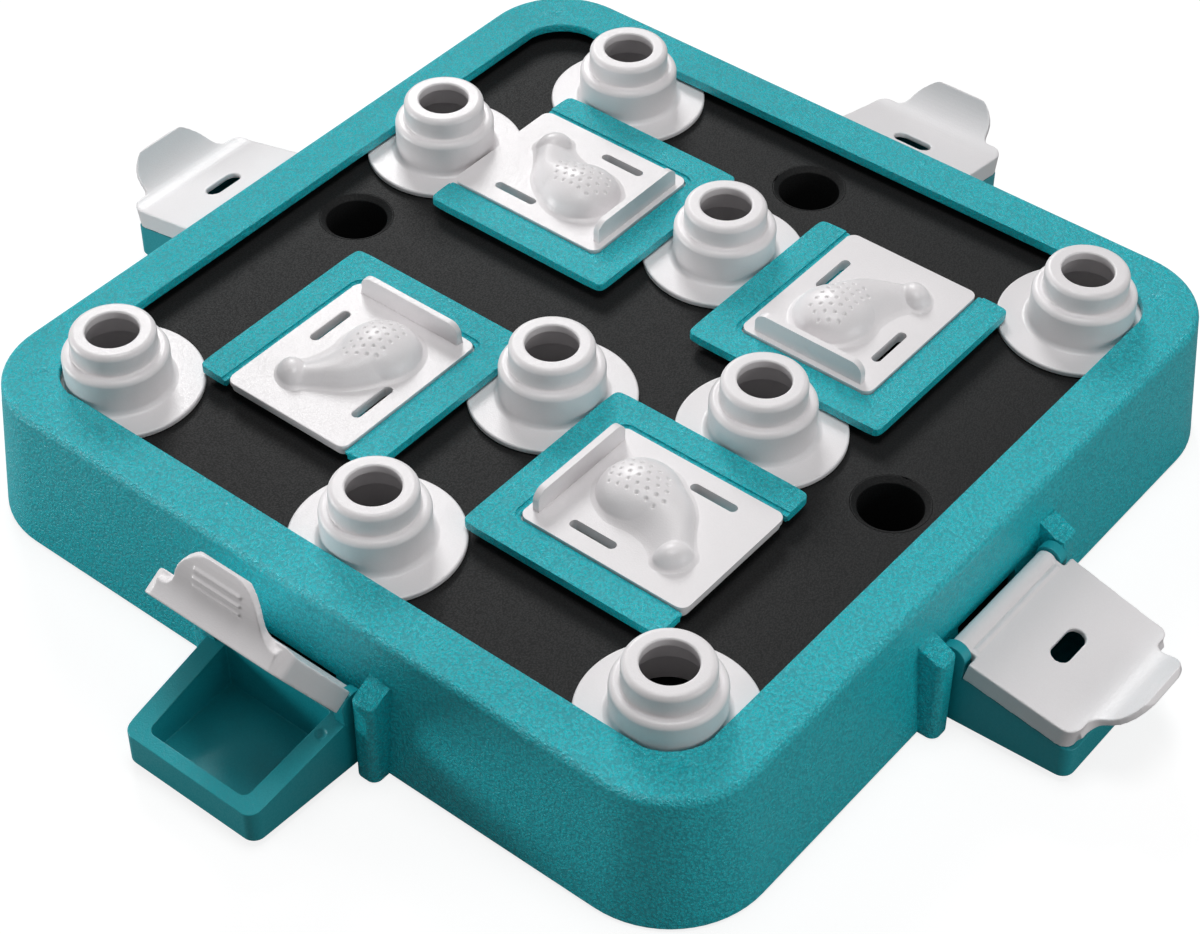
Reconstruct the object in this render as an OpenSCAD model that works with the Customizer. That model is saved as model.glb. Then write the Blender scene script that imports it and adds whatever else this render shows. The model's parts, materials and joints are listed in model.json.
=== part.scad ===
/* [Tray] */
// Half of the tray's side at its bottom edge
base_half = 143.7; // [142:0.1:150]
// How far the walls lean in from the table to the rim
wall_lean = 4.7; // [3.5:0.1:5.5]
// Radius of the tray's outer corners at the bottom
base_corner_r = 33; // [32:0.5:36]
// Height of the wall's lower edge above the table
skirt_z = 0.6; // [0.3:0.1:1]
// Thickness of the tray's walls
wall_t = 2.8; // [2.2:0.1:3.2]
// Width of the rim round the play area
rim_w = 16; // [15.8:0.1:17]
// Thickness of the rim
rim_t = 3.3; // [2.4:0.1:3.8]
// Height of the rim over the slide frames
rim_rise = 0.5; // [0:0.1:2]
// Rounding of the rim's outer edge
rim_edge_r = 2.4; // [1:0.1:2.8]
// Corner radius of the opening in the rim
opening_r = 16; // [12:0.5:18]
// Radius of the shallow thumb marks in the rim
mark_r = 3.2; // [2:0.1:4]
// Depth of the thumb marks
mark_depth = 0.8; // [0.4:0.1:1.2]

/* [Board] */
// Height of the board's top face above the table
board_z = 42.4; // [40:0.1:46]
// Thickness of the board
board_t = 2.4; // [2:0.1:3]
// Width of the lanes that the pegs slide in
lane_w = 34.4; // [34:0.1:35]
// Radius of the round wells
well_r = 10; // [8:0.5:11]
// Depth of the round wells
well_depth = 26; // [15:1:28]
// Depth of the bevel round each well
well_bevel = 1.4; // [1:0.1:1.8]
// Half of a treat pocket's side
pocket_half = 17.5; // [12:0.5:18]
// Depth of the treat pockets
pocket_depth = 20; // [12:1:26]
// Corner radius of the treat pockets
pocket_r = 6; // [4:0.5:8]
// Wall thickness of the wells and pockets
cup_t = 2; // [1.6:0.1:2.2]
// Width of the collar that holds a well or pocket under the board
collar_w = 1.5; // [1:0.1:2]

/* [Slide frames] */
// Thickness of the frame's top plate
frame_t = 2.9; // [2.4:0.1:3.2]
// Corner radius of the frame
frame_r = 2.2; // [1:0.1:4]
// Width of the smooth step round the cover
step_w = 1.7; // [1:0.1:2.5]
// Depth of the smooth step
step_depth = 0.6; // [0.4:0.1:1]
// Thickness of the lip that holds the cover down
lip_t = 1.2; // [1:0.1:1.6]
// Thickness of the wall beside the cover's tongues
groove_wall_t = 1; // [0.8:0.1:1.4]
// Width of the runner under the plate
runner_w = 2.7; // [2:0.1:4]

/* [Slide covers] */
// Height of the cover over its frame
cover_rise = 0.3; // [0:0.1:1]
// How far the cover's open edge stands out of its frame
cover_proud = 0.2; // [0:0.1:0.4]
// Thickness of the cover's upper layer
cover_t = 1.6; // [1.4:0.1:2]
// How far the lower layer lies back from the open edge
cover_shadow = 0.8; // [0.4:0.1:1.5]
// Corner radius of the cover
cover_r = 3; // [2:0.1:4]
// Thickness of the tongues that hold the cover down
tongue_t = 1.5; // [1.2:0.1:2]
// How far the tongues reach under the frame's lip
tongue_hold = 0.45; // [0.4:0.05:0.8]
// Half length of the finger fin
fin_half = 19.9; // [16:0.1:21]
// Thickness of the finger fin
fin_t = 2.2; // [1.6:0.1:2.6]
// Height of the finger fin
fin_h = 7.2; // [5:0.1:9]
// Distance of the fin from the cover's closed edge
fin_inset = 1.9; // [1:0.1:3]
// Radius of the fin's upper corners
fin_r = 4; // [2:0.1:5]
// Half width of the cover's two slots
slot_r = 1.6; // [1:0.1:2]
// Length of the slots between their end centres
slot_len = 13.4; // [8:0.1:16]
// Distance of the slots from the cover's middle
slot_x = 16.8; // [16.4:0.1:18]
// Place of the left slot along the cover
slot_left_y = 2.5; // [0:0.1:5]
// Place of the right slot along the cover
slot_right_y = -15.2; // [-18:0.1:-12]

/* [Drumstick grip] */
// Radius of the drumstick's round end on the cover
ham_r = 11; // [9:0.1:12]
// Height of the drumstick over the cover
ham_h = 6.5; // [4:0.1:7]
// Place of the round end across the cover
ham_x = 5; // [3:0.1:6]
// Place of the round end along the cover
ham_y = 2.6; // [0:0.1:4]
// Turn of the drumstick from the cover's length
ham_turn = 31.5; // [25:0.5:35]
// Length from the round end's middle to the knuckles
ham_len = 29.5; // [26:0.1:30]
// Radius of the neck
neck_r = 3; // [2.4:0.1:3.6]
// Radius of the two knuckles
knuckle_r = 3.1; // [2.6:0.1:3.6]
// Half distance between the two knuckles
knuckle_gap = 2.4; // [1.8:0.1:2.8]
// Radius of one pinhole dimple
dot_r = 0.62; // [0.4:0.02:0.8]
// Spacing of the dimples
dot_pitch = 2.9; // [2.6:0.1:3.6]
// Radius of the dimpled patch
dot_field_r = 7.6; // [5:0.1:8]

/* [Pegs] */
// Radius of a peg's disc
disc_r = 26.2; // [25.6:0.1:26.4]
// Thickness of a peg's disc
disc_t = 1.9; // [1.6:0.1:2.4]
// Height of a peg
peg_h = 21.8; // [18:0.1:26]
// Height of the lower step
lower_h = 14.3; // [10:0.1:16]
// Radius of the upper step
upper_r = 13.2; // [12.4:0.1:14]
// Radius of the bore at the top
bore_r = 8.2; // [7:0.1:9]
// Height of the bore's lip
bore_lip_h = 3; // [2:0.1:4]
// Rounding of the peg's steps
peg_edge_r = 1.9; // [1:0.1:2.2]
// Wall thickness of a peg
peg_t = 2.5; // [2:0.1:2.8]

/* [Treat boxes] */
// Distance of a box's front from its back
box_len = 43; // [40:0.1:46]
// Half width of a box at its back
box_back_half = 27.2; // [26:0.1:28]
// How far each side narrows towards the front
box_taper = 1.8; // [1:0.1:2.5]
// Height of the box's bottom above the table
box_bottom_z = 2.3; // [1:0.1:3]
// Slope of the box's rim and of the closed lid
box_slope = 12.1; // [10:0.1:14]
// Radius of the box's upright front corners
box_r = 4; // [2:0.1:6]
// Thickness of the box's floor
box_floor_t = 2.2; // [1.6:0.1:3]
// Width of the box's side rims
box_side_t = 6.5; // [5:0.1:7]
// Width of the box's front rim
box_front_t = 4.2; // [3:0.1:6]
// Width of the box's back rim
box_rear_t = 5.4; // [4:0.1:6]
// Radius of the shallow hollow in one side rim
rim_hollow_r = 1.9; // [1:0.1:2.4]
// Depth of that hollow
rim_hollow_depth = 0.7; // [0.3:0.1:1]
// Height of the hinge axis above the table
hinge_z = 27.2; // [27:0.1:27.8]
// Radius of the box's hinge ears
ear_r = 4.3; // [4:0.1:4.4]
// Thickness of the hinge ears
ear_t = 3.6; // [3:0.1:4]

/* [Flip lids] */
// Distance of the lid's front from the hinge axis
lid_len = 40.9; // [40:0.1:42]
// Distance of the lid's side walls from the hinge axis
lid_start = 5.2; // [5.1:0.1:6]
// Height of the lid's top face over the hinge axis
lid_top = 2.35; // [2.2:0.05:2.6]
// Thickness of the lid's plate
lid_t = 2; // [1.6:0.1:2.2]
// Depth of the lid's side walls
lid_skirt = 7; // [6:0.1:7]
// Gap between the closed lid's walls and the box's rim
lid_slack = 0.36; // [0.3:0.02:0.6]
// Thickness of the lid's side walls
lid_wall_t = 1.6; // [1.2:0.1:2]
// Radius of the lid's hinge barrel
barrel_r = 3.4; // [3:0.1:3.6]
// Radius of the lid's hinge pins
pin_r = 1.6; // [1.4:0.1:2]
// Length of the hinge pins
pin_len = 2.4; // [2:0.1:2.6]
// Radius of the curl that lifts the finger tab
tab_curl_r = 18; // [16:0.1:20]
// Turn of the finger tab's curl
tab_turn = 66; // [50:1:68]
// Half width of the finger tab at its root
tab_root_half = 17.4; // [15:0.1:18]
// Half width of the finger tab at its tip
tab_tip_half = 13.6; // [12:0.1:15]
// Radius of the tab's corners
tab_r = 11.8; // [8:0.1:11.9]
// Radius between the tab and the lid's front
tab_root_r = 5; // [3:0.1:5.5]
// Thickness of the finger tab
tab_t = 2.2; // [1.8:0.1:2.6]
// Half width of the lid's slot
lid_slot_r = 3.1; // [2:0.1:4]
// Half length of the lid's slot between its end centres
lid_slot_half = 4; // [2:0.1:8]

/* [Guide posts] */
// Width of a guide post
post_w = 8; // [6:0.1:9]
// How far a post stands out at its foot
post_out = 5.6; // [5:0.1:6.5]
// Height of a post at its nose
post_nose_z = 30.6; // [28:0.1:33]
// Rise of a post from its nose to the wall
post_rise = 4.4; // [2:0.1:6]
// Rounding of a post's nose
post_r = 2.8; // [1:0.1:3.2]
// Half width of the window behind a hinge
window_half = 15; // [10:0.5:18]
// Height of the window behind a hinge
window_h = 10.6; // [6:0.1:11]
// How far the window's upper edge lies under the hinge axis
window_drop = 1.2; // [0:0.1:4]
// Thickness of the box's guide tongues
guide_t = 2.4; // [1.8:0.1:2.6]
// Reach of the guide tongues into the posts
guide_reach = 2.5; // [1.5:0.1:3.5]

/* [Base and fasteners] */
// Thickness of the base plate
base_t = 2.5; // [2.2:0.1:3]
// Height of the base plate's lower face
base_z = 1.4; // [1.2:0.1:1.8]
// Radius of a rubber foot
pad_r = 9; // [7:0.5:10]
// Depth of the recess that a rubber foot is glued into
pad_recess = 0.8; // [0.5:0.1:1.2]
// Radius of the columns for the long screws
column_r = 4; // [3.6:0.1:4.2]
// Height of the seats that the columns stand on
seat_h = 2.1; // [1.5:0.1:4]
// Radius of a screw's shank
shank_r = 1.25; // [1:0.05:1.5]
// Length of a long screw's shank
shank_len = 16; // [12:0.5:20]
// Radius of a screw's head
head_r = 2.5; // [2.2:0.1:2.8]
// Height of a screw's head
head_h = 1.6; // [1.2:0.1:1.8]
// Radius of the wide head that clamps the board to a frame
clamp_head_r = 4; // [3.6:0.1:4.2]
// Radius of the frame's studs
stud_r = 2.8; // [2.4:0.1:3]
// Thickness of the frame's foot over the end of its screws
stud_seat = 0.3; // [0.2:0.1:0.6]

/* [Clearances] */
// Gap between a moving part and what it moves along
slide_gap = 0.3; // [0.25:0.05:0.35]
// Gap beside a cover
cover_gap = 0.35; // [0.3:0.05:0.4]
// Radial gap of the hinge pins
pin_gap = 0.08; // [0.04:0.01:0.1]
// Gap between parts that are fixed together
fit_gap = 0.15; // [0.1:0.05:0.2]
// Radial gap of the screws
screw_gap = 0.05; // [0.02:0.01:0.08]
// Play of the pegs between the walls of their lanes
lane_play = 0.8; // [0.6:0.1:1.2]
// Overrun of cuts through a face
over = 1; // [0.5:0.1:2]

/* [Rest pose] */
// Opening angle of the lid that stands open
open_angle = 70; // [0:1:100]

/* [Hidden] */
$fn = 64;
TEAL = [0.13, 0.56, 0.58];
WHITE = [0.9, 0.88, 0.88];
CHARCOAL = [0.2, 0.2, 0.21];
STEEL = [0.6, 0.6, 0.62];
RUBBER = [0.12, 0.12, 0.12];

// Heights, from the board up
peg_z = board_z + slide_gap;
disc_top = peg_z + disc_t;
cover_low = disc_top + slide_gap;
lip_low = cover_low + tongue_t + slide_gap;
ledge_z = lip_low + lip_t;
frame_top = ledge_z + step_depth;
plate_low = frame_top - frame_t;
cover_top = frame_top + cover_rise;
rim_z = frame_top + rim_rise;
rim_low = rim_z - rim_t;

// The tray in plan
function half_at(z) = base_half - wall_lean * z / rim_z;
rim_half = base_half - wall_lean;
corner_at = base_half - base_corner_r;
opening_half = rim_half - rim_w;
mark_at = opening_half - 3 * slide_gap;
column_at = corner_at + (rim_half - corner_at - column_r - slide_gap) / sqrt(2);
rim_root = opening_half - corner_at - 2 * over - opening_r * (1 - sqrt(0.5));

// The grid of lanes and frames
lane_at = opening_half - lane_w / 2;
frame_at = lane_at / 2;
frame_half = (lane_at - lane_w) / 2;
foot_half = frame_at - disc_r - slide_gap - fit_gap;
groove_half = foot_half - groove_wall_t;
tongue_half = groove_half - slide_gap;
lip_half = tongue_half - tongue_hold;
cover_half = lip_half - cover_gap;
cover_front = frame_half + cover_proud;
lower_r = lane_w / 2 - lane_play;
board_low = board_z - board_t;
board_half = half_at(board_z) - wall_t - slide_gap;
stop_at = lane_at + disc_r + slide_gap + fit_gap;
stud_at = (foot_half + pocket_half + cup_t) / 2;
// Places of the pegs as shares of the lanes' distance from the centre
peg_shares = [
    [-0.725, 1],
    [-1.003, 0.4215],
    [0, 0.5567],
    [1, 0.978],
    [-1, -1],
    [0, -0.2561],
    [0.5558, 0],
    [0, -1],
    [1, -1]
];

// The base
base_top = base_z + base_t;
seat_z = base_top + seat_h;
base_plate_half = half_at(base_top) - wall_t - slide_gap;
pad_at = corner_at - pad_r / 3;
board_column_at = lane_at - 2 * column_r;

// The boxes and hinges, measured outward from the tray's centre
box_back = base_half + 3 * fit_gap;
box_front = box_back + box_len;
box_front_half = box_back_half - box_taper;
hinge_out = box_back + guide_t + slide_gap;
ear_inner = box_back_half - ear_t;
barrel_half = ear_inner - slide_gap - fit_gap;
post_inner = box_back_half + 2 * slide_gap;
post_nose = base_half + post_out;

// The curl of a lid's tab in steps: the lid's front rises over the first few
curl_steps = 12;
rise_steps = 4;
tab_inset = tab_curl_r * sin(tab_turn * rise_steps / curl_steps);
guide_z = box_bottom_z + box_floor_t;
guide_h = hinge_z - ear_r - guide_z - over;
window_z = hinge_z - window_drop - window_h;

// Points of a closed outline whose corners [x, y, radius] are rounded by arcs
function toward(a, b) = let (v = [b.x - a.x, b.y - a.y]) v / norm(v);
function turn_of(a, b) = cross(a, b) < 0 ? -1 : 1;
function corner_arc(p, c, n) =
    let (
        a = toward(c, p),
        b = toward(c, n),
        half = acos(max(-1, min(1, a * b))) / 2,
        mid = (a + b) / norm(a + b),
        centre = [c.x, c.y] + mid * c.z / sin(half),
        from = [c.x, c.y] + a * c.z / tan(half) - centre,
        start = atan2(from.y, from.x),
        sweep = turn_of(-a, b) * (180 - 2 * half),
        steps = max(2, ceil(abs(sweep) / 11))
    )
    [for (i = [0 : steps]) centre + c.z * [cos(start + sweep * i / steps), sin(start + sweep * i / steps)]];
function rounded(cs) =
    let (n = len(cs))
    [
        for (i = [0 : n - 1])
            for (q = cs[i].z > 0 ? corner_arc(cs[(i + n - 1) % n], cs[i], cs[(i + 1) % n]) : [[cs[i].x, cs[i].y]])
                q
    ];
module outline(corners) polygon(rounded(corners));
module slab(z0, z1) translate([0, 0, z0]) linear_extrude(z1 - z0) children();
module square_outline(half, r) outline([[-half, -half, r], [half, -half, r], [half, half, r], [-half, half, r]]);

// A cylinder along Y, centred on the origin
module bar(r, length) rotate([90, 0, 0]) cylinder(r = r, h = length, center = true);

// Places that repeat on all four sides
module side(k) rotate([0, 0, 90 * k - 90]) children();
module quarter(k) rotate([0, 0, 90 * k]) translate([-frame_at, -frame_at, 0]) children();
module at_corners(d) for (k = [0 : 3]) rotate([0, 0, 90 * k]) translate([d, d, 0]) children();
module at_sides(d) for (k = [0 : 3]) rotate([0, 0, 90 * k]) translate([d, 0, 0]) children();

// Cross section of the tray: distance from the corner's centre, height
module wall_section() {
    foot = half_at(skirt_z) - corner_at;
    inside = half_at(rim_low) - corner_at - wall_t;
    outline([
        [foot, skirt_z, wall_t / 5],
        [rim_half - corner_at, rim_z, rim_edge_r],
        [rim_root, rim_z, 0],
        [rim_root, rim_low, 0],
        [inside, rim_low, wall_t / 2],
        [foot - wall_t, skirt_z, wall_t / 5]
    ]);
}

module tray_walls() {
    at_corners(corner_at) rotate_extrude(angle = 90, $fn = 96) wall_section();
    at_sides(corner_at)
        rotate([90, 0, 0])
            linear_extrude(2 * corner_at, center = true) wall_section();
}

// A post beside a treat box
module guide_post() {
    wall_z = post_nose_z + post_rise;
    intersection() {
        translate([0, post_inner + post_w, 0])
            rotate([90, 0, 0])
                linear_extrude(post_w)
                    outline([
                        [half_at(skirt_z) - wall_t / 2, skirt_z, 0],
                        [post_nose, skirt_z, 0],
                        [post_nose, post_nose_z, post_r],
                        [half_at(wall_z) - wall_t / 2, wall_z, 0]
                    ]);
        slab(0, rim_z)
            outline([
                [corner_at, post_inner, 0],
                [post_nose, post_inner, post_r],
                [post_nose, post_inner + post_w, post_r],
                [corner_at, post_inner + post_w, 0]
            ]);
    }
}

// The groove that a box's guide tongue is pushed up into from below
module guide_groove() {
    translate([box_back - fit_gap, post_inner - over, -over])
        cube([
            guide_t + 2 * fit_gap,
            box_back_half + guide_reach + fit_gap - post_inner + over,
            guide_z + guide_h + fit_gap + over
        ]);
}

// A short rib under the rim that holds the board down and stops the pegs
module stop_rib() {
    translate([stop_at, -wall_t / 2, board_z])
        cube([half_at(board_z) - wall_t / 2 - stop_at, wall_t, rim_low - board_z + rim_t / 2]);
}

module shell_column() {
    reach = base_corner_r - wall_t / 2 - wall_lean / 2 - (column_at - corner_at) * sqrt(2);
    translate([0, 0, seat_z]) cylinder(r = column_r, h = rim_low - seat_z + rim_t / 2);
    rotate([0, 0, 45])
        translate([0, -wall_t / 3, seat_z])
            cube([reach, wall_t * 2 / 3, board_low - seat_z]);
}

// A shallow round hollow of the given radius and depth in a flat face
module shallow_hollow(r, depth) {
    ball = (r * r + depth * depth) / (2 * depth);
    translate([0, 0, ball - depth]) sphere(r = ball);
}

module outer_shell() color(TEAL) {
    difference() {
        union() {
            tray_walls();
            at_corners(column_at) shell_column();
            for (k = [0 : 3]) side(k) {
                guide_post();
                mirror([0, 1, 0]) guide_post();
                for (y = [-frame_at, frame_at]) translate([0, y, 0]) stop_rib();
            }
        }
        slab(rim_low - over, rim_z + over) square_outline(opening_half, opening_r);
        for (k = [0 : 3]) side(k) {
            guide_groove();
            mirror([0, 1, 0]) guide_groove();
            translate([corner_at, -window_half, window_z])
                cube([base_half - corner_at, 2 * window_half, window_h]);
        }
        at_corners(mark_at) translate([0, 0, rim_z]) shallow_hollow(mark_r, mark_depth);
        at_corners(column_at)
            translate([0, 0, seat_z - over])
                cylinder(r = shank_r + screw_gap, h = shank_len, $fn = 32);
    }
}

module board_columns() {
    at_corners(board_column_at) children();
    at_sides(frame_at) children();
}

module play_board() color(CHARCOAL) {
    difference() {
        union() {
            slab(board_low, board_z) square_outline(board_half, board_half - corner_at);
            board_columns()
                translate([0, 0, seat_z]) cylinder(r = column_r, h = board_low - seat_z + board_t / 2);
        }
        at_sides(lane_at) slab(board_low - over, board_z + over) circle(r = well_r + cup_t + fit_gap);
        for (k = [0 : 3]) quarter(k) {
            slab(board_low - over, board_z + over)
                square_outline(pocket_half + cup_t + fit_gap, pocket_r + cup_t + fit_gap);
            at_corners(stud_at)
                translate([0, 0, board_low - over])
                    cylinder(r = stud_r + fit_gap, h = board_t + 2 * over, $fn = 32);
        }
        at_corners(column_at)
            translate([0, 0, board_low - over]) cylinder(r = column_r + slide_gap, h = board_t + 2 * over);
        board_columns()
            translate([0, 0, seat_z - over])
                cylinder(r = shank_r + screw_gap, h = shank_len, $fn = 32);
    }
}

// A round well with a bevelled rim, welded to the board by its collar
module treat_cup(k) color(CHARCOAL) side(k) translate([lane_at, 0, 0]) difference() {
    union() {
        slab(board_z - well_depth - cup_t, board_z) circle(r = well_r + cup_t);
        slab(board_low - cup_t, board_low) circle(r = well_r + cup_t + collar_w);
    }
    slab(board_z - well_depth, board_z + over) circle(r = well_r);
    translate([0, 0, board_z - well_bevel])
        cylinder(r1 = well_r, r2 = well_r + cup_t - fit_gap, h = well_bevel);
}

// A square pocket under a slide frame, welded to the board by its collar
module treat_pocket(k) color(CHARCOAL) quarter(k) difference() {
    union() {
        slab(board_z - pocket_depth - cup_t, board_z) square_outline(pocket_half + cup_t, pocket_r + cup_t);
        slab(board_low - cup_t, board_low)
            square_outline(pocket_half + cup_t + collar_w, pocket_r + cup_t + collar_w);
    }
    slab(board_z - pocket_depth, board_z + over) square_outline(pocket_half, pocket_r);
}

module long_screw_holes() {
    translate([0, 0, base_z - over]) {
        cylinder(r = shank_r + fit_gap, h = seat_z - base_z + 2 * over, $fn = 32);
        cylinder(r = head_r + fit_gap, h = head_h + 2 * fit_gap + over, $fn = 32);
    }
}

module base_plate() color(CHARCOAL) {
    difference() {
        union() {
            slab(base_z, base_top) square_outline(base_plate_half, base_plate_half - corner_at);
            at_corners(column_at) translate([0, 0, base_z]) cylinder(r = column_r, h = seat_z - base_z);
            board_columns() translate([0, 0, base_z]) cylinder(r = column_r, h = seat_z - base_z);
        }
        at_corners(column_at) long_screw_holes();
        board_columns() long_screw_holes();
        at_corners(pad_at)
            translate([0, 0, base_z - over]) cylinder(r = pad_r + fit_gap, h = pad_recess + over);
    }
}

// Room for a cover that slides out along -Y
module frame_channel(half, z0, z1, r) {
    slab(z0, z1)
        outline([
            [-half, -frame_half - over, 0],
            [half, -frame_half - over, 0],
            [half, half, r],
            [-half, half, r]
        ]);
}

module slide_frame() color(TEAL) {
    runner_half = groove_half + runner_w;
    difference() {
        union() {
            slab(plate_low, frame_top) square_outline(frame_half, frame_r);
            slab(cover_low, plate_low + frame_t / 2)
                outline([
                    [-runner_half, cover_shadow - frame_half, frame_r / 2],
                    [runner_half, cover_shadow - frame_half, frame_r / 2],
                    [runner_half, runner_half, frame_r],
                    [-runner_half, runner_half, frame_r]
                ]);
            slab(board_z, cover_low) square_outline(foot_half, frame_r / 2);
            at_corners(stud_at) slab(board_low + fit_gap, board_z) circle(r = stud_r, $fn = 32);
        }
        frame_channel(lip_half, disc_top, rim_z + over, cover_r);
        frame_channel(groove_half, disc_top, lip_low, cover_r);
        frame_channel(lip_half + step_w, ledge_z, rim_z + over, cover_r + step_w);
        slab(board_z - over, cover_low) square_outline(pocket_half, pocket_r);
        at_corners(stud_at)
            slab(board_low - over, disc_top - stud_seat) circle(r = shank_r + screw_gap, $fn = 32);
    }
}

// Point of a Bezier curve from a to d
function curve_at(a, b, c, d, t) =
    a * pow(1 - t, 3) + b * 3 * t * pow(1 - t, 2) + c * 3 * t * t * (1 - t) + d * t * t * t;

ham_ball = (ham_r * ham_r + ham_h * ham_h) / (2 * ham_h);
ham_sink = ham_ball - ham_h;

// A drumstick lying half sunk, round end at the origin, knuckles along -Y
module drumstick() {
    tilt = atan((ham_sink + neck_r / 5) / ham_len);
    cone = 58;
    leave = ham_ball * [sin(cone), cos(cone)];
    neck = [neck_r, ham_len * 3 / 4];
    pull = ham_len / 5;
    profile = concat(
        [for (i = [0 : 8]) let (a = 180 - (180 - cone) * i / 8) ham_ball * [sin(a), cos(a)]],
        [for (i = [1 : 8]) curve_at(leave, leave + pull * [-cos(cone), sin(cone)], neck - [0, pull], neck, i / 8)],
        [[neck_r, ham_len], [0, ham_len]]
    );
    translate([0, 0, -ham_sink])
        rotate([90 - tilt, 0, 0]) {
            rotate_extrude() polygon(profile);
            for (x = [-knuckle_gap, knuckle_gap]) translate([x, 0, ham_len]) sphere(r = knuckle_r, $fn = 32);
        }
}

// Dimples in a triangular grid over the round end
module dimples() {
    rows = floor(dot_field_r / dot_pitch) + 1;
    for (i = [-rows : rows], j = [-rows : rows]) {
        p = dot_pitch * [i + j / 2, j * sqrt(0.75)];
        if (norm(p) <= dot_field_r)
            translate([p.x, p.y, sqrt(ham_ball * ham_ball - p * p) - ham_sink + dot_r / 4])
                sphere(r = dot_r, $fn = 16);
    }
}

module stadium(r, length) {
    for (y = [-length / 2, length / 2]) translate([0, y]) circle(r = r, $fn = 32);
    square([2 * r, length], center = true);
}

module cover_outline(half, front, back) {
    outline([[-half, -front, cover_r], [half, -front, cover_r], [half, back, cover_r], [-half, back, cover_r]]);
}

module slide_cover() color(WHITE) {
    inner_top = cover_top - cover_t;
    difference() {
        union() {
            slab(inner_top, cover_top) cover_outline(cover_half, cover_front, cover_half);
            slab(cover_low, inner_top) cover_outline(cover_half, cover_front - cover_shadow, cover_half);
            slab(cover_low, cover_low + tongue_t)
                cover_outline(tongue_half, cover_front - 2 * cover_shadow, tongue_half);
            translate([0, cover_half - fin_inset, inner_top])
                rotate([90, 0, 0])
                    linear_extrude(fin_t)
                        outline([
                            [-fin_half, 0, 0],
                            [fin_half, 0, 0],
                            [fin_half, cover_t + fin_h, fin_r],
                            [-fin_half, cover_t + fin_h, fin_r]
                        ]);
            intersection() {
                translate([ham_x, ham_y, cover_top]) rotate([0, 0, -ham_turn]) drumstick();
                slab(inner_top, cover_top + 2 * ham_h) square(2 * cover_front, center = true);
            }
        }
        translate([ham_x, ham_y, cover_top]) dimples();
        slab(cover_low - over, cover_top + over) {
            translate([-slot_x, slot_left_y]) stadium(slot_r, slot_len);
            translate([slot_x, slot_right_y]) stadium(slot_r, slot_len);
        }
    }
}

// Half section of a peg: radius, height over the board's gap
module peg_section() {
    waist = upper_r - peg_t;
    hollow_h = lower_h - peg_t;
    outline([
        [lower_r - peg_t, 0, 0],
        [disc_r, 0, disc_t / 4],
        [disc_r, disc_t, disc_t / 3],
        [lower_r, disc_t, peg_edge_r],
        [lower_r, lower_h, peg_edge_r],
        [upper_r, lower_h, peg_edge_r / 3],
        [upper_r, peg_h, peg_edge_r],
        [bore_r, peg_h, peg_edge_r / 3],
        [bore_r, peg_h - bore_lip_h, 0],
        [waist, peg_h - bore_lip_h, 0],
        [waist, hollow_h, 0],
        [lower_r - peg_t, hollow_h, peg_edge_r / 2]
    ]);
}

module peg(n) color(WHITE) {
    translate([peg_shares[n].x * lane_at, peg_shares[n].y * lane_at, peg_z])
        rotate_extrude($fn = 96) peg_section();
}

// Plan of a treat box, drawn in by the widths of its rims
module box_outline(rear, sides, front, r) {
    taper = box_taper / box_len;
    y0 = box_back_half - sides - taper * rear;
    y1 = box_front_half - sides + taper * front;
    outline([
        [box_back + rear, -y0, r / 4],
        [box_front - front, -y1, r],
        [box_front - front, y1, r],
        [box_back + rear, y0, r / 4]
    ]);
}

// The edge of a hinge ear that runs along the back of the closed lid, at a height
function ear_front(z) = [(lid_start - slide_gap) / cos(box_slope) + z * tan(box_slope), z];

module hinge_ear() {
    drop = lid_skirt + lid_slack - lid_top + over;
    translate([0, ear_inner + ear_t / 2, 0]) {
        bar(ear_r, ear_t);
        rotate([90, 0, 0])
            linear_extrude(ear_t, center = true)
                polygon([
                    [box_back - hinge_out, -drop - over],
                    ear_front(-drop - over),
                    ear_front(-barrel_r),
                    [ear_r - over / 4, 0],
                    [box_back - hinge_out, 0]
                ]);
    }
}

module treat_box(k) color(TEAL) {
    side(k) difference() {
        union() {
            difference() {
                slab(box_bottom_z, hinge_z) box_outline(0, 0, 0, box_r);
                translate([hinge_out, 0, hinge_z])
                    rotate([0, box_slope, 0])
                        translate([-box_len, -2 * box_back_half, lid_top - lid_skirt - lid_slack])
                            cube([3 * box_len, 4 * box_back_half, box_len]);
            }
            translate([hinge_out, 0, hinge_z]) {
                hinge_ear();
                mirror([0, 1, 0]) hinge_ear();
            }
            translate([box_back, -box_back_half - guide_reach, guide_z])
                cube([guide_t, 2 * (box_back_half + guide_reach), guide_h]);
        }
        translate([hinge_out, 0, hinge_z])
            rotate([0, box_slope, 0])
                translate([
                    box_len / 4,
                    box_front_half + box_taper / 2 - box_side_t / 2,
                    lid_top - lid_skirt - lid_slack
                ])
                    shallow_hollow(rim_hollow_r, rim_hollow_depth);
        slab(box_bottom_z + box_floor_t, hinge_z + ear_r)
            box_outline(box_rear_t, box_side_t, box_front_t, box_r * 2 / 3);
        translate([hinge_out, 0, hinge_z]) bar(pin_r + pin_gap, 2 * (ear_inner + pin_len + slide_gap));
    }
}

// The lid's plan from x0 to its front
module lid_outline(inset, x0, front_r) {
    taper = box_taper / box_len;
    x1 = lid_len - inset;
    y0 = box_back_half + slide_gap - inset - taper * x0;
    y1 = box_back_half + slide_gap - inset - taper * x1;
    outline([[x0, -y0, 0], [x1, -y1, front_r], [x1, y1, front_r], [x0, y0, 0]]);
}

// Points of an arc of the curl, from step n0 to step n1
function curl_arc(r, n0, n1) =
    [for (n = [n0 : (n1 > n0 ? 1 : -1) : n1]) let (a = tab_turn * n / curl_steps) [r * sin(a), -r * cos(a)]];

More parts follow.
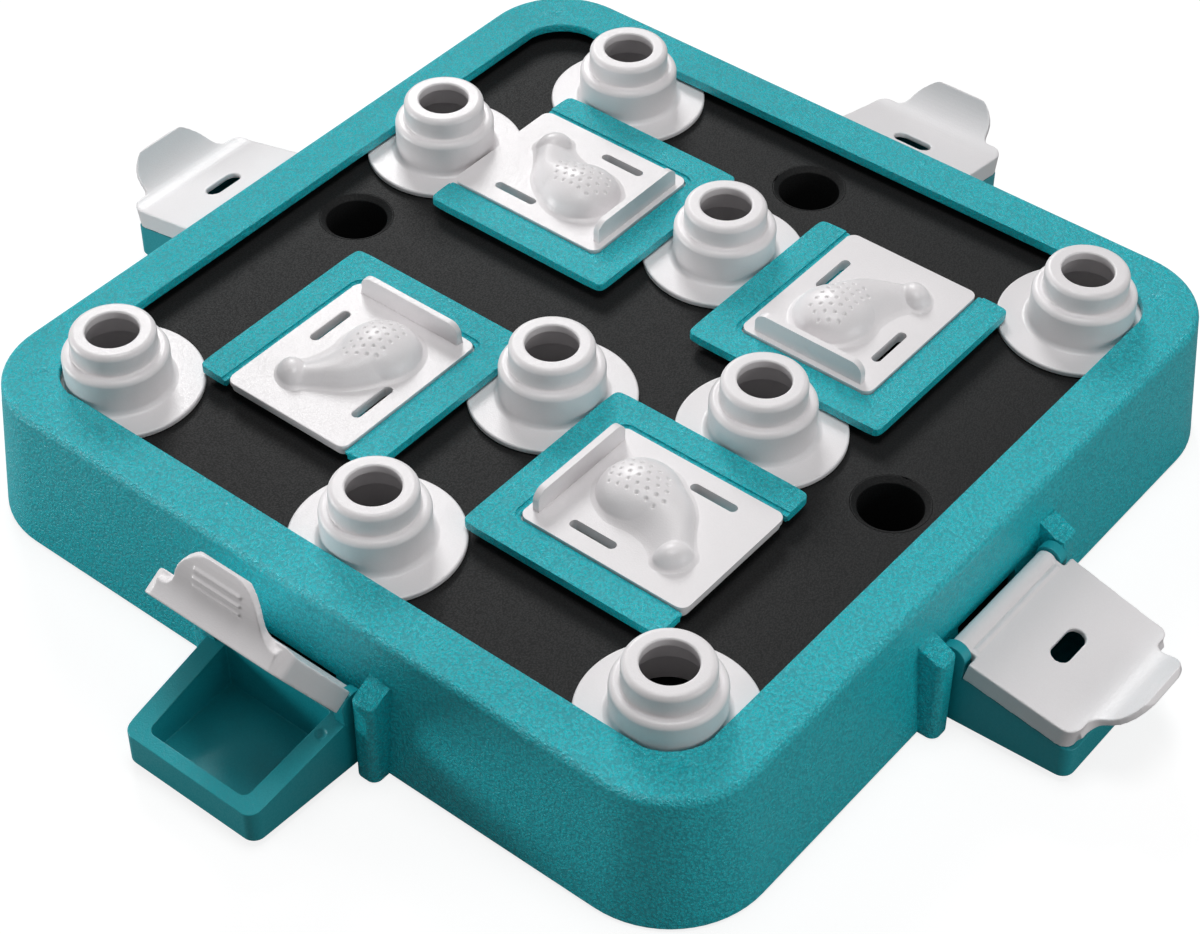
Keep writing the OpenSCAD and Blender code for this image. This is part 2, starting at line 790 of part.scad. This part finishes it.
// A profile of the lid's front, measured from the curl's centre, given a width
module across_front(half)
    translate([lid_len - tab_inset, 0, lid_top + tab_curl_r])
        rotate([90, 0, 0])
            linear_extrude(2 * half, center = true) children();

// The tab that curls up from the lid's front, with grip ridges underneath
module finger_tab() {
    under_r = tab_curl_r + tab_t;
    chord = 2 * (tab_curl_r + tab_t / 2) * sin(tab_turn / 2);
    edge = tab_inset * cos(tab_turn / 2);
    wide = tab_root_half + tab_root_r + fit_gap;
    foot = [tab_inset, -lid_skirt - tab_curl_r];
    joins = tab_turn * (rise_steps + 2) / curl_steps;
    meet = under_r * [sin(joins), -cos(joins)];
    pull = norm(meet - foot) / 3;
    intersection() {
        across_front(wide) {
            polygon(concat(
                curl_arc(tab_curl_r, rise_steps - 2, curl_steps),
                curl_arc(under_r, curl_steps, rise_steps - 2)
            ));
            polygon(concat(
                [for (i = [0 : 8])
                    curve_at(foot, foot + [0, pull], meet - pull * [cos(joins), sin(joins)], meet, i / 8)],
                curl_arc(under_r - tab_t / 2, rise_steps + 2, rise_steps - 1),
                [foot - [lid_wall_t / 2, 0]]
            ));
        }
        translate([lid_len - tab_inset, 0, lid_top])
            rotate([0, -tab_turn / 2, 0])
                slab(-2 * chord, chord)
                    outline([
                        [-chord, -wide, 0],
                        [edge, -wide, 0],
                        [edge, -tab_root_half, tab_root_r],
                        [chord, -tab_tip_half, tab_r],
                        [chord, tab_tip_half, tab_r],
                        [edge, tab_root_half, tab_root_r],
                        [edge, wide, 0],
                        [-chord, wide, 0]
                    ]);
    }
    for (a = [36, 44, 52])
        translate([lid_len - tab_inset, 0, lid_top + tab_curl_r])
            rotate([0, -a, 0])
                translate([0, 0, -under_r]) bar(tab_t / 4, tab_root_half, $fn = 24);
}

// The lid's front rises to the curl over its whole width
module lid_front_rise() {
    intersection() {
        across_front(2 * box_back_half)
            polygon(concat(
                curl_arc(tab_curl_r, 0, rise_steps),
                [[tab_inset, -tab_curl_r - lid_t], [0, -tab_curl_r - lid_t]]
            ));
        slab(lid_top - 2 * lid_t, lid_top + tab_curl_r) lid_outline(0, lid_start, box_r);
    }
}

module flip_lid(k, angle) color(WHITE) {
    side(k) translate([hinge_out, 0, hinge_z]) rotate([0, box_slope - angle, 0]) difference() {
        union() {
            difference() {
                slab(lid_top - lid_skirt, lid_top) lid_outline(0, lid_start, box_r);
                slab(lid_top - lid_skirt - over, lid_top - lid_t)
                    lid_outline(lid_wall_t, lid_start - over, box_r - lid_wall_t);
            }
            translate([0, -barrel_half, -lid_t / 2])
                cube([lid_start + over, 2 * barrel_half, lid_top + lid_t / 2 - tab_t / 2]);
            for (y = [-barrel_half, barrel_half - lid_wall_t])
                translate([0, y, 0]) cube([lid_start + over, lid_wall_t, lid_top]);
            bar(barrel_r, 2 * barrel_half);
            bar(pin_r, 2 * (ear_inner + pin_len));
            translate([barrel_r + tab_t / 4, 0, lid_top - tab_t / 4])
                bar(tab_t / 2, 2 * barrel_half - ear_t, $fn = 24);
            finger_tab();
            lid_front_rise();
        }
        slab(lid_top - lid_t - over, lid_top + over)
            translate([(lid_start + lid_len - lid_t) / 2, 0]) stadium(lid_slot_r, 2 * lid_slot_half);
    }
}

module long_screw() {
    translate([0, 0, base_z + fit_gap]) {
        cylinder(r = head_r, h = head_h, $fn = 32);
        cylinder(r = shank_r, h = shank_len, $fn = 32);
    }
}

module shell_screws() color(STEEL) at_corners(column_at) long_screw();
module board_screws() color(STEEL) board_columns() long_screw();

module frame_screws() color(STEEL) {
    for (k = [0 : 3]) quarter(k) at_corners(stud_at) {
        slab(board_low - head_h, board_low) circle(r = clamp_head_r, $fn = 32);
        slab(board_low - head_h, disc_top - 2 * stud_seat) circle(r = shank_r, $fn = 32);
    }
}

module rubber_feet() color(RUBBER) {
    at_corners(pad_at) {
        cylinder(r1 = pad_r - pad_recess / 2, r2 = pad_r, h = pad_recess / 2);
        slab(pad_recess / 2, base_z + pad_recess) circle(r = pad_r);
    }
}

outer_shell();
play_board();
base_plate();
treat_cup(0);  // treat_cup_1
treat_cup(1);  // treat_cup_2
treat_cup(2);  // treat_cup_3
treat_cup(3);  // treat_cup_4
treat_pocket(0);  // treat_pocket_1
treat_pocket(1);  // treat_pocket_2
treat_pocket(2);  // treat_pocket_3
treat_pocket(3);  // treat_pocket_4
quarter(0) slide_frame();  // frame_1
quarter(1) slide_frame();  // frame_2
quarter(2) slide_frame();  // frame_3
quarter(3) slide_frame();  // frame_4
quarter(0) slide_cover();  // cover_1
quarter(1) slide_cover();  // cover_2
quarter(2) slide_cover();  // cover_3
quarter(3) slide_cover();  // cover_4
peg(0);  // peg_1
peg(1);  // peg_2
peg(2);  // peg_3
peg(3);  // peg_4
peg(4);  // peg_5
peg(5);  // peg_6
peg(6);  // peg_7
peg(7);  // peg_8
peg(8);  // peg_9
treat_box(0);  // treat_box_1
treat_box(1);  // treat_box_2
treat_box(2);  // treat_box_3
treat_box(3);  // treat_box_4
flip_lid(0, open_angle);  // flip_lid_1
flip_lid(1, 0);  // flip_lid_2
flip_lid(2, 0);  // flip_lid_3
flip_lid(3, 0);  // flip_lid_4
shell_screws();
board_screws();
frame_screws();
rubber_feet();
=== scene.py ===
import json
import math

import bmesh
import bpy
from mathutils import Matrix, Vector
from mathutils.bvhtree import BVHTree

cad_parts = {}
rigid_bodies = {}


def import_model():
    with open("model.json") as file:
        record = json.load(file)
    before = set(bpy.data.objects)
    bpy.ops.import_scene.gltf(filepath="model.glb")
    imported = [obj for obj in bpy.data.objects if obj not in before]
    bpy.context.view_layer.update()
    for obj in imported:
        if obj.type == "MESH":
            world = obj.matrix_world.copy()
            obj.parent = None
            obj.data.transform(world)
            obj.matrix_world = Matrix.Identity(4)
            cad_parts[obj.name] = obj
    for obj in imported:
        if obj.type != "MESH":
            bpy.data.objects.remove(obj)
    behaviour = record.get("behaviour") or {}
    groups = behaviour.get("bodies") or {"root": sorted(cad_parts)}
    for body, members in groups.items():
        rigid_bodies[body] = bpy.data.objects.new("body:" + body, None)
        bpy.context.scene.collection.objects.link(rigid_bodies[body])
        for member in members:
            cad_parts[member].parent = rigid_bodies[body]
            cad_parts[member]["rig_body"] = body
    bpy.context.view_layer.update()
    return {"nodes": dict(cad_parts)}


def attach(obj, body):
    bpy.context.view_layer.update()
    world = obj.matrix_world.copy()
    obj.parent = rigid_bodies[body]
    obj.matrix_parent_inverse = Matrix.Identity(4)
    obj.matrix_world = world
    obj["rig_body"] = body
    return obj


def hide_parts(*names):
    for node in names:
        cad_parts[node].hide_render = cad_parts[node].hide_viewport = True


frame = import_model()
nodes = frame["nodes"]

# The view of the photograph: from above the corner between the side whose lid
# stands open and the side at its right, through a long lens.
LENS_MM = 81.97
SENSOR_MM = 36.0
FARTHEST_SEEN = 20.0
EYE = Vector((0.3956, -0.4962, 0.6010))
AIM = Vector((0.0304, -0.0418, 0.0425))
ROLL = math.radians(0.294)
camera_data = bpy.data.cameras.new("camera")
camera_data.lens = LENS_MM
camera_data.sensor_width = SENSOR_MM
camera_data.clip_end = FARTHEST_SEEN
camera = bpy.data.objects.new("camera", camera_data)
bpy.context.scene.collection.objects.link(camera)
look = (AIM - EYE).to_track_quat("-Z", "Y").to_matrix().to_4x4()
camera.matrix_world = Matrix.Translation(EYE) @ look @ Matrix.Rotation(ROLL, 4, "Z")
bpy.context.scene.camera = camera
bpy.context.scene.view_settings.view_transform = "Standard"

# The studio: a white floor that keeps a faint shadow and throws little light back,
# a world that looks white but lights dimly, a key lamp far behind at the left, a lamp
# overhead and weak panels at both sides.
FLOOR_SIZE = 6.0
FLOOR_DROP = 0.0002
FLOOR_GREY = 0.25
FLOOR_GLOW = 0.83
WORLD_LIGHT = 0.16
WORLD_SEEN = 1.0
bpy.ops.mesh.primitive_plane_add(size=FLOOR_SIZE, location=(0, 0, -FLOOR_DROP))
floor = bpy.context.object
floor.name = "floor"
floor_finish = bpy.data.materials.new("studio_floor")
floor_finish.use_nodes = True
tree = floor_finish.node_tree
tree.nodes.clear()
output = tree.nodes.new("ShaderNodeOutputMaterial")
matte = tree.nodes.new("ShaderNodeBsdfDiffuse")
matte.inputs["Color"].default_value = (FLOOR_GREY, FLOOR_GREY, FLOOR_GREY, 1)
glow = tree.nodes.new("ShaderNodeEmission")
glow.inputs["Color"].default_value = (1, 1, 1, 1)
light_path = tree.nodes.new("ShaderNodeLightPath")
seen = tree.nodes.new("ShaderNodeMath")
seen.operation = "MULTIPLY"
seen.inputs[1].default_value = FLOOR_GLOW
total = tree.nodes.new("ShaderNodeAddShader")
tree.links.new(light_path.outputs["Is Camera Ray"], seen.inputs[0])
tree.links.new(seen.outputs[0], glow.inputs["Strength"])
tree.links.new(matte.outputs[0], total.inputs[0])
tree.links.new(glow.outputs[0], total.inputs[1])
tree.links.new(total.outputs[0], output.inputs["Surface"])
floor.data.materials.append(floor_finish)

world = bpy.data.worlds.new("studio")
bpy.context.scene.world = world
world.use_nodes = True
sky = world.node_tree.nodes["Background"]
sky.inputs["Color"].default_value = (1, 1, 1, 1)
sky_path = world.node_tree.nodes.new("ShaderNodeLightPath")
sky_mix = world.node_tree.nodes.new("ShaderNodeMapRange")
sky_mix.inputs["To Min"].default_value = WORLD_LIGHT
sky_mix.inputs["To Max"].default_value = WORLD_SEEN
world.node_tree.links.new(sky_path.outputs["Is Camera Ray"], sky_mix.inputs["Value"])
world.node_tree.links.new(sky_mix.outputs["Result"], sky.inputs["Strength"])


def soft_lamp(name, place, target, size, power):
    """A rectangular lamp at a place, turned to a target; lengths in metres, power in watts."""
    data = bpy.data.lights.new(name, "AREA")
    data.shape = "RECTANGLE"
    data.size, data.size_y = size
    data.energy = power
    lamp = bpy.data.objects.new(name, data)
    bpy.context.scene.collection.objects.link(lamp)
    lamp.location = place
    lamp.rotation_euler = (Vector(target) - Vector(place)).to_track_quat("-Z", "Y").to_euler()


soft_lamp("key", place=(-2.4, 2.05, 2.2), target=(-0.03, 0.02, 0.04), size=(1.2, 1.2), power=70)
soft_lamp("overhead", place=(0.08, -0.04, 1.3), target=(0.02, 0, 0.04), size=(0.5, 0.5), power=6.6)
soft_lamp("left_panel", place=(-0.95, -0.65, 0.14), target=(-0.25, -0.15, 0.02), size=(0.4, 0.25), power=6)
soft_lamp("right_panel", place=(0.90, 0.10, 0.30), target=(0.30, -0.02, 0.0), size=(0.5, 0.4), power=2.0)


def principled(name):
    """A new material, with its node tree and its shader."""
    finish = bpy.data.materials.new(name)
    finish.use_nodes = True
    return finish, finish.node_tree, finish.node_tree.nodes["Principled BSDF"]


# Leather grain that the mould leaves on the plastic: round cells bent by noise,
# as a height, weaker on upright faces, and as a mask that is 1 in the creases, where shade is painted.
WARP_DETAIL = 2.0
WARP_REACH = 0.0006
CELL_SOFTNESS = 0.35
CELL_WEIGHT = -0.8
FINE_DETAIL = 3.0
FINE_PER_CELL = 2.3
CREASE_FROM, CREASE_TO = 0.35, 0.65
UPRIGHT_BELOW, LEVEL_ABOVE = 0.2, 0.9
UPRIGHT_SHARE = 0.45
grain = bpy.data.node_groups.new("mould_grain", "ShaderNodeTree")
grain.interface.new_socket("Cells per metre", in_out="INPUT", socket_type="NodeSocketFloat")
grain.interface.new_socket("Height", in_out="OUTPUT", socket_type="NodeSocketFloat")
grain.interface.new_socket("Crease", in_out="OUTPUT", socket_type="NodeSocketFloat")
group_in = grain.nodes.new("NodeGroupInput")
group_out = grain.nodes.new("NodeGroupOutput")
place = grain.nodes.new("ShaderNodeTexCoord")
warp = grain.nodes.new("ShaderNodeTexNoise")
warp.inputs["Detail"].default_value = WARP_DETAIL
push = grain.nodes.new("ShaderNodeVectorMath")
push.operation = "MULTIPLY_ADD"
push.inputs[1].default_value = (WARP_REACH, WARP_REACH, WARP_REACH)
cells = grain.nodes.new("ShaderNodeTexVoronoi")
cells.feature = "SMOOTH_F1"
cells.inputs["Smoothness"].default_value = CELL_SOFTNESS
fine = grain.nodes.new("ShaderNodeTexNoise")
fine.inputs["Detail"].default_value = FINE_DETAIL
fine_scale = grain.nodes.new("ShaderNodeMath")
fine_scale.operation = "MULTIPLY"
fine_scale.inputs[1].default_value = FINE_PER_CELL
height = grain.nodes.new("ShaderNodeMath")
height.operation = "MULTIPLY_ADD"
height.inputs[1].default_value = CELL_WEIGHT
crease = grain.nodes.new("ShaderNodeMapRange")
crease.inputs["From Min"].default_value = CREASE_FROM
crease.inputs["From Max"].default_value = CREASE_TO
grain.links.new(place.outputs["Object"], warp.inputs["Vector"])
grain.links.new(group_in.outputs["Cells per metre"], warp.inputs["Scale"])
grain.links.new(warp.outputs["Color"], push.inputs[0])
grain.links.new(place.outputs["Object"], push.inputs[2])
grain.links.new(push.outputs["Vector"], cells.inputs["Vector"])
grain.links.new(group_in.outputs["Cells per metre"], cells.inputs["Scale"])
grain.links.new(group_in.outputs["Cells per metre"], fine_scale.inputs[0])
grain.links.new(fine_scale.outputs[0], fine.inputs["Scale"])
grain.links.new(place.outputs["Object"], fine.inputs["Vector"])
grain.links.new(cells.outputs["Distance"], height.inputs[0])
grain.links.new(fine.outputs["Fac"], height.inputs[2])
grain.links.new(cells.outputs["Distance"], crease.inputs["Value"])
upright = grain.nodes.new("ShaderNodeSeparateXYZ")
level = grain.nodes.new("ShaderNodeMath")
level.operation = "ABSOLUTE"
share = grain.nodes.new("ShaderNodeMapRange")
share.inputs["From Min"].default_value = UPRIGHT_BELOW
share.inputs["From Max"].default_value = LEVEL_ABOVE
share.inputs["To Min"].default_value = UPRIGHT_SHARE
scaled = grain.nodes.new("ShaderNodeMath")
scaled.operation = "MULTIPLY"
grain.links.new(place.outputs["Normal"], upright.inputs[0])
grain.links.new(upright.outputs["Z"], level.inputs[0])
grain.links.new(level.outputs[0], share.inputs["Value"])
grain.links.new(height.outputs[0], scaled.inputs[0])
grain.links.new(share.outputs["Result"], scaled.inputs[1])
grain.links.new(scaled.outputs[0], group_out.inputs["Height"])
grain.links.new(crease.outputs["Result"], group_out.inputs["Crease"])


def grained_plastic(name, pale, painted_crease_shade, cells_per_m, depth, roughness, specular=0.5):
    """Moulded plastic with mould grain: pale and glossier on the bumps, darkened by painted shade in the
    creases.
    """
    gloss_spread = 0.08
    finish, tree, shader = principled(name)
    texture = tree.nodes.new("ShaderNodeGroup")
    texture.node_tree = grain
    texture.inputs["Cells per metre"].default_value = cells_per_m
    bump = tree.nodes.new("ShaderNodeBump")
    bump.inputs["Strength"].default_value = 1.0
    bump.inputs["Distance"].default_value = depth
    # Painted shade: the crease mask darkens the colour towards the second colour in the grain's creases.
    colour = tree.nodes.new("ShaderNodeMix")
    colour.data_type = "RGBA"
    colour.inputs["A"].default_value = (*pale, 1)
    colour.inputs["B"].default_value = (*painted_crease_shade, 1)
    rough = tree.nodes.new("ShaderNodeMapRange")
    rough.inputs["To Min"].default_value = roughness - gloss_spread
    rough.inputs["To Max"].default_value = roughness + gloss_spread
    shader.inputs["Specular IOR Level"].default_value = specular
    tree.links.new(texture.outputs["Height"], bump.inputs["Height"])
    tree.links.new(bump.outputs["Normal"], shader.inputs["Normal"])
    tree.links.new(texture.outputs["Crease"], colour.inputs["Factor"])
    tree.links.new(colour.outputs["Result"], shader.inputs["Base Color"])
    tree.links.new(texture.outputs["Crease"], rough.inputs["Value"])
    tree.links.new(rough.outputs["Result"], shader.inputs["Roughness"])
    return finish


def rounded_copy(base, width, segments, wanted):
    """The form with its wanted sharp edges rounded. Where a rounding would fold over or
    leave the form, its edges stay sharp."""
    sharp_from = math.radians(32)
    tries = 7
    farthest_off = 0.75 * width
    least_face = 1e-9
    least_facing = 0.1
    form = BVHTree.FromBMesh(base)
    spoilt = []
    for attempt in range(tries):
        result = base.copy()
        edges = []
        for edge in result.edges:
            if len(edge.link_faces) != 2 or edge.calc_face_angle(0) < sharp_from or not wanted(edge):
                continue
            ends = [v.co for v in edge.verts]
            reach = edge.calc_length() / 2 + 2 * width
            middle = (ends[0] + ends[1]) / 2
            near = any((end - bad).length < 2 * width for bad in spoilt for end in ends)
            if near or any((middle - bad).length < reach for bad in spoilt):
                continue
            edges.append(edge)
        bmesh.ops.bevel(result, geom=edges, offset=width, offset_type="OFFSET", segments=segments,
                        profile=0.5, affect="EDGES", clamp_overlap=False, material=-1)
        worse = [v.co.copy() for v in result.verts if form.find_nearest(v.co)[3] > farthest_off]
        for face in result.faces:
            if face.calc_area() > least_face:
                middle = face.calc_center_median()
                if face.normal.dot(form.find_nearest(middle)[1]) < least_facing:
                    worse.append(middle)
        if not worse:
            break
        spoilt += worse
        if attempt < tries - 1:
            result.free()
    base.free()
    return result


def clean_form(node):
    """The CAD node's form, merged and rid of its needless edges."""
    same_point = 2e-6
    flat_below = math.radians(0.4)
    form = bmesh.new()
    form.from_mesh(nodes[node].data)
    bmesh.ops.remove_doubles(form, verts=form.verts, dist=same_point)
    bmesh.ops.dissolve_limit(form, angle_limit=flat_below, verts=form.verts, edges=form.edges)
    return form


def stand_in(node, form, finish):
    """Puts a piece with the given form in the CAD node's place. Edges left sharp look sharp."""
    crisp_from = math.radians(50)
    weight_by_area = 60
    for face in form.faces:
        face.smooth = True
    for edge in form.edges:
        if len(edge.link_faces) == 2 and edge.calc_face_angle(0) > crisp_from:
            edge.smooth = False
    mesh = bpy.data.meshes.new(node + "_skin")
    form.to_mesh(mesh)
    form.free()
    piece = bpy.data.objects.new(node + "_skin", mesh)
    bpy.context.scene.collection.objects.link(piece)
    mesh.materials.append(finish)
    weighted = piece.modifiers.new("weighted_normals", "WEIGHTED_NORMAL")
    weighted.weight = weight_by_area
    weighted.keep_sharp = True
    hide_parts(node)
    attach(piece, nodes[node]["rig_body"])


def skin(node, finish, width, segments=2):
    """Stands in for the CAD node with a copy that has all its sharp edges rounded."""
    stand_in(node, rounded_copy(clean_form(node), width, segments, lambda edge: True), finish)


# The tray: one teal moulding with leaning walls, a flat rim and guide posts,
# grained all over by its mould. The rim's outer edge is rounded far more than the rest.
RIM_ROUND = 0.0022
POST_ROUND = 0.0005
SHARP_FOOT = 0.006
SAME_LEVEL = 0.0001
LEAST_OUTWARD = 0.2
# The second colour is painted shade for the grain's creases.
teal_grained = grained_plastic("teal_grained", pale=(0.010, 0.61, 0.69), painted_crease_shade=(0.004, 0.42, 0.49),
                               cells_per_m=1100, depth=0.0006, roughness=0.34, specular=0.7)
tray = clean_form("outer_shell")
rim_top = max(v.co.z for v in tray.verts)


def at_rim_edge(edge):
    """Whether an edge lies at the rim's top and faces outwards."""
    low = min(v.co.z for v in edge.verts)
    side = edge.verts[0].co + edge.verts[1].co
    outward = [f.normal.x * side.x + f.normal.y * side.y for f in edge.link_faces]
    return low > rim_top - SAME_LEVEL and max(outward) > LEAST_OUTWARD


tray = rounded_copy(tray, RIM_ROUND, 5, at_rim_edge)
tray = rounded_copy(tray, POST_ROUND, 2, lambda edge: min(v.co.z for v in edge.verts) > SHARP_FOOT)
stand_in("outer_shell", tray, teal_grained)

# The play board and base plate: charcoal mouldings, fine and dull. The cups and
# pockets for treats are welded under the board, and each cup has a bevelled rim.
# The second colour is painted shade for the grain's creases.
charcoal = grained_plastic("charcoal_board", pale=(0.013, 0.0132, 0.0135), painted_crease_shade=(0.0105, 0.0107, 0.011),
                           cells_per_m=1700, depth=0.0001, roughness=0.6, specular=0.2)
skin("play_board", charcoal, width=0.0002)
skin("base_plate", charcoal, width=0.0003)
for k in range(1, 5):
    skin(f"treat_cup_{k}", charcoal, width=0.0002)
    skin(f"treat_pocket_{k}", charcoal, width=0.0003)

# The slide frames, grained like the tray, and the smoother treat boxes, whose teal is darker than the
# tray's as painted shade.
# Painted shade: the boxes' teal is a darker copy of the tray's teal for the shade the tray's wall casts on
# them. Its finer grain is its own. The second colour is painted shade for the grain's creases.
teal_smooth = grained_plastic("teal_smooth", pale=(0.010, 0.34, 0.39), painted_crease_shade=(0.009, 0.32, 0.37),
                              cells_per_m=1700, depth=0.00006, roughness=0.36)
for k in range(1, 5):
    skin(f"frame_{k}", teal_grained, width=0.0004, segments=3)
    skin(f"treat_box_{k}", teal_smooth, width=0.0003)

# The pegs: warm white plastic, turned steps with rounded edges, and a low gloss.
# The second colour is painted shade for the grain's creases.
white = grained_plastic("white_plastic", pale=(0.80, 0.775, 0.785), painted_crease_shade=(0.79, 0.765, 0.775),
                        cells_per_m=1900, depth=0.00003, roughness=0.36)
for k in range(1, 10):
    skin(f"peg_{k}", white, width=0.0004, segments=3)

# The flip lids: thin white mouldings whose skirt, top and curled tab run into each
# other without an edge, so the form is melted a little on a fine grid.
MELT_GRID = 0.00032
MELT_SHARE = 0.5
MELT_ROUNDS = 5
for k in range(1, 5):
    form = clean_form(f"flip_lid_{k}")
    mesh = bpy.data.meshes.new("lid_form")
    form.to_mesh(mesh)
    form.free()
    lid = bpy.data.objects.new("lid_form", mesh)
    bpy.context.scene.collection.objects.link(lid)
    grid = lid.modifiers.new("grid", "REMESH")
    grid.mode = "VOXEL"
    grid.voxel_size = MELT_GRID
    melt = lid.modifiers.new("melt", "SMOOTH")
    melt.factor = MELT_SHARE
    melt.iterations = MELT_ROUNDS
    melted = bmesh.new()
    melted.from_object(lid, bpy.context.evaluated_depsgraph_get())
    bpy.data.objects.remove(lid)
    stand_in(f"flip_lid_{k}", melted, white)

# The sliding covers: a white plate with slots and a finger fin, and on it a grip in
# the form of a drumstick with dimples in its round end. FRAME_AT is how far each
# cover's own origin lies from the tray's middle in X and Y. The rest of the grip is
# given in mm from there: u runs along the drumstick from its head, v across it, and
# a neck row holds crest, left reach, right reach and height.
FRAME_AT = 0.0529
COVER_TOP = 0.0488
MM = 1000
HEAD = Vector((4.3, 2.2))
ALONG = Vector((-math.sin(math.radians(32)), -math.cos(math.radians(32))))
ACROSS = Vector((-ALONG.y, ALONG.x))
HEAD_R, HEAD_TOP = 12.8, 8.6
KNOB_AT = (27.5, 0.2)
KNOB_LONG, KNOB_WIDE, KNOB_TOP = 4.7, 6.0, 5.0
NECK_FILLET, KNOB_FILLET, PLATE_FILLET = 1.2, 0.8, 3.4
PLATE_SINK = -0.08
ROW_STEP = 7.0
NECK_ROWS = ((0.0, 12.4, 12.4, 8.3), (3.4, 14.6, 9.6, 7.7), (6.0, 12.0, 6.0, 6.0),
             (4.6, 8.6, 4.2, 4.5), (1.2, 6.2, 5.0, 3.3))
NECK_END = 4
LEFT_FLANK, RIGHT_FLANK = 0.95, 0.6
DIMPLE_R = 0.85
DIMPLE_HALF_DEPTH = 0.3
DIMPLE_ROWS = ((0.8, 3), (2.5, 4), (4.2, 5), (5.9, 5), (7.6, 5), (6.4, 4), (5.1, 3), (3.2, 2))
FIRST_ROW, ROW_PITCH, DIMPLE_PITCH = -7.7, 2.7, 3.2
dimples = [(FIRST_ROW + ROW_PITCH * n, first - DIMPLE_PITCH * m)
           for n, (first, count) in enumerate(DIMPLE_ROWS) for m in range(count)]


def smooth_top(a, b, k):
    """The greater of two heights, with the crease between them filleted."""
    h = max(k - abs(a - b), 0) / k
    return max(a, b) + h * h * k / 4


def mound(u, v, half_length, half_width, top):
    """Height over an ellipse of the given half axes."""
    s = 1 - (u / half_length) ** 2 - (v / half_width) ** 2
    return top * math.sqrt(s) if s > 0 else top * s


def neck_height(u, v):
    """Height of the meat that narrows to the bone, on a smooth curve through the rows."""
    last = len(NECK_ROWS) - 1
    t = min(max(u / ROW_STEP, 0), last - 1e-9)
    n = int(t)
    t -= n
    near = [NECK_ROWS[min(max(n + i, 0), last)] for i in (-1, 0, 1, 2)]
    crest, left, right, top = [
        b + 0.5 * t * (c - a + t * (2 * a - 5 * b + 4 * c - d + t * (3 * (b - c) + d - a)))
        for a, b, c, d in zip(*near)]
    end = max(0, -u, u - ROW_STEP * last) / NECK_END
    s = 1 - ((v - crest) / (left if v < crest else right)) ** 2 - end * end
    return top * s ** (LEFT_FLANK if v < crest else RIGHT_FLANK) if s > 0 else top * s


def drumstick_height(x, y):
    """Height in mm of the grip over the plate, at a place in the cover's own plan in mm."""
    place = Vector((x, y)) - HEAD
    u, v = place.dot(ALONG), place.dot(ACROSS)
    height = smooth_top(mound(u, v, HEAD_R, HEAD_R, HEAD_TOP), neck_height(u, v), NECK_FILLET)
    knob = mound(u - KNOB_AT[0], v - KNOB_AT[1], KNOB_LONG, KNOB_WIDE, KNOB_TOP)
    height = smooth_top(height, knob, KNOB_FILLET)
    height = smooth_top(height, PLATE_SINK, PLATE_FILLET)
    for du, dv in dimples:
        far = math.hypot(u - du, v - dv)
        if far < DIMPLE_R:
            height -= DIMPLE_HALF_DEPTH * (1 + math.cos(math.pi * far / DIMPLE_R))
    return height


GRID_AT = (1.5, -7.5)
GRID_HALF = (21, 26)
grip = bmesh.new()
bmesh.ops.create_grid(grip, x_segments=200, y_segments=260, size=1)
for vert in grip.verts:
    x = GRID_AT[0] + vert.co.x * GRID_HALF[0]
    y = GRID_AT[1] + vert.co.y * GRID_HALF[1]
    vert.co = Vector((x / MM - FRAME_AT, y / MM - FRAME_AT, COVER_TOP + drumstick_height(x, y) / MM))
flat = [f for f in grip.faces if max(v.co.z for v in f.verts) < COVER_TOP]
bmesh.ops.delete(grip, geom=flat, context="FACES")
for face in grip.faces:
    face.smooth = True
grip_mesh = bpy.data.meshes.new("grip")
grip.to_mesh(grip_mesh)
grip.free()
grip_mesh.materials.append(white)

# The CAD cover carries its own, plainer grip. Its faces are found by their height over
# the plate, in front of the fin, and make room for the grip above.
FIN_FROM = 0.0195
RISES = 0.00001
STANDS_CLEAR = 0.0001
REACHES_DOWN = 0.0004
LEVEL_NORMAL = 0.9999
PLATE_ROUND = 0.0003
for k in range(4):
    turn = Matrix.Rotation(math.radians(90 * k), 4, "Z")
    plate = clean_form("cover_1")
    own = [f for f in plate.faces if f.calc_center_median().y + FRAME_AT < FIN_FROM
           and max(v.co.z for v in f.verts) > COVER_TOP + RISES
           and (f.calc_center_median().z > COVER_TOP - REACHES_DOWN and abs(f.normal.z) < LEVEL_NORMAL
                or min(v.co.z for v in f.verts) > COVER_TOP + STANDS_CLEAR)]
    bmesh.ops.delete(plate, geom=own, context="FACES")
    bmesh.ops.holes_fill(plate, edges=[e for e in plate.edges if len(e.link_faces) == 1], sides=0)
    bmesh.ops.recalc_face_normals(plate, faces=plate.faces)
    plate.transform(turn)
    plate = rounded_copy(plate, PLATE_ROUND, 3, lambda edge: True)
    stand_in(f"cover_{k + 1}", plate, white)
    mesh = grip_mesh.copy()
    mesh.transform(turn)
    handle = bpy.data.objects.new(f"grip_{k + 1}", mesh)
    bpy.context.scene.collection.objects.link(handle)
    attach(handle, nodes[f"cover_{k + 1}"]["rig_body"])

# The screws, of plain steel, and the rubber feet pressed into the base plate. Both
# keep the form of their CAD nodes.
steel, _, steel_shader = principled("screw_steel")
steel_shader.inputs["Base Color"].default_value = (0.5, 0.5, 0.52, 1)
steel_shader.inputs["Metallic"].default_value = 1.0
steel_shader.inputs["Roughness"].default_value = 0.35
for node in ("shell_screws", "board_screws", "frame_screws"):
    nodes[node].data.materials.clear()
    nodes[node].data.materials.append(steel)
# The second colour is painted shade for the grain's creases.
rubber = grained_plastic("foot_rubber", pale=(0.02, 0.02, 0.02), painted_crease_shade=(0.012, 0.012, 0.012),
                         cells_per_m=2500, depth=0.00003, roughness=0.75)
nodes["rubber_feet"].data.materials.clear()
nodes["rubber_feet"].data.materials.append(rubber)
